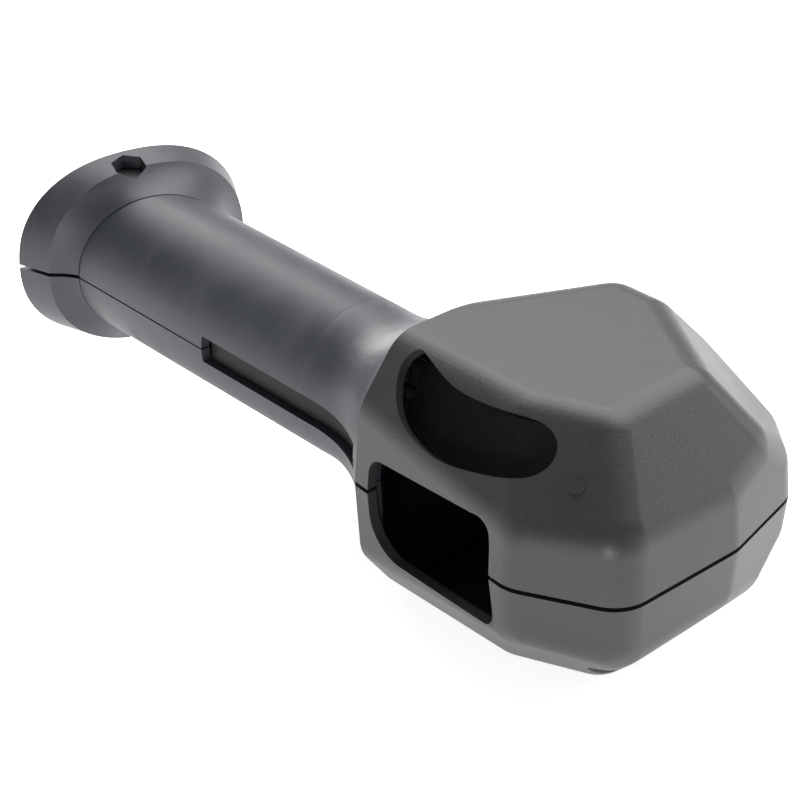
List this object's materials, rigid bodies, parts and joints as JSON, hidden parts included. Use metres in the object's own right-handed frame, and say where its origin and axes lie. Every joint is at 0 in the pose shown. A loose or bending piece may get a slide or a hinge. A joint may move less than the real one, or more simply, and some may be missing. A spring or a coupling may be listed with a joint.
{
  "type": "handheld barcode scanner",
  "caption": "Pistol-style handheld scanner in a two-part clamshell housing, with a slot trigger, an open scan window, a curved side key and a flared handle base.",
  "frame": {"origin": "centre of the flat left cheek that the scanner lies on", "axes": "+X along the handle towards the head, -Y towards the trigger and scan window, +Z towards the right-hand side, up as it lies"},
  "size_m": [0.1954, 0.0807, 0.062],
  "materials": {
    "housing_texture": "fine spark-eroded texture",
    "grip_satin": "satin, slightly polished by hands",
    "collar_satin": "satin",
    "trigger_black": "matte black",
    "key_black": "matte black rubber",
    "cap_plastic": "satin",
    "chassis_black": "matte black",
    "board_green": "dark solder mask",
    "chip_black": "moulded chip package",
    "connector_white": "nylon connector",
    "lens_glass": "coated lens",
    "led_lens": "moulded LED lens",
    "screw_steel": "zinc-plated steel",
    "black_steel": "blackened steel",
    "spring_steel": "bright spring wire",
    "contact_brass": "gold-flashed contacts",
    "can_metal": "capacitor cans",
    "harness_black": "sleeved wires",
    "flex_amber": "polyimide flex"
  },
  "bodies": {
    "housing": {"head_shell_right": "housing_texture", "head_shell_left": "housing_texture", "grip_shell_right": "grip_satin", "grip_shell_left": "grip_satin", "base_collar_right": "collar_satin", "base_collar_left": "collar_satin", "base_cap": "cap_plastic", "cable_jack": "chassis_black", "jack_contacts": "contact_brass", "case_screws": "screw_steel", "base_bolt": "black_steel", "base_nut": "black_steel", "trigger_pin": "spring_steel", "trigger_spring": "spring_steel", "switch_board": "board_green", "switch_body": "chassis_black", "key_board": "board_green", "key_switch": "chip_black", "engine_cradle": "chassis_black", "scan_engine": "chassis_black", "engine_lens": "lens_glass", "engine_leds": "led_lens", "main_board": "board_green", "processor_chip": "chip_black", "memory_chip": "chip_black", "power_module": "chip_black", "capacitors": "can_metal", "beeper": "chassis_black", "harness_socket": "connector_white", "engine_flex": "flex_amber", "wire_harness": "harness_black"},
    "trigger": {"trigger": "trigger_black"},
    "plunger": {"switch_plunger": "connector_white"},
    "side_key": {"side_key": "key_black"}
  },
  "joints": [
    {"name": "trigger_pull", "type": "hinge", "parent": "housing", "child": "trigger", "pos_m": [-0.043, -0.0135, 0.031], "axis": [0, 0, -1], "range_deg": [0, 4], "stiffness_Nm_per_rad": 0.12, "springref_deg": -14.32, "deforming": ["trigger_spring"]},
    {"name": "plunger_slide", "type": "slide", "parent": "housing", "child": "plunger", "axis": [0, 1, 0], "range_m": [0, 0.0012]},
    {"name": "side_key_press", "type": "slide", "parent": "housing", "child": "side_key", "axis": [0, 0.788, -0.6157], "range_m": [0, 0.0011], "stiffness_N_per_m": 250, "springref_m": -0.002}
  ],
  "couplings": [
    {"joint": "plunger_slide", "follows": "trigger_pull", "m_per_rad": 0.0168}
  ]
}
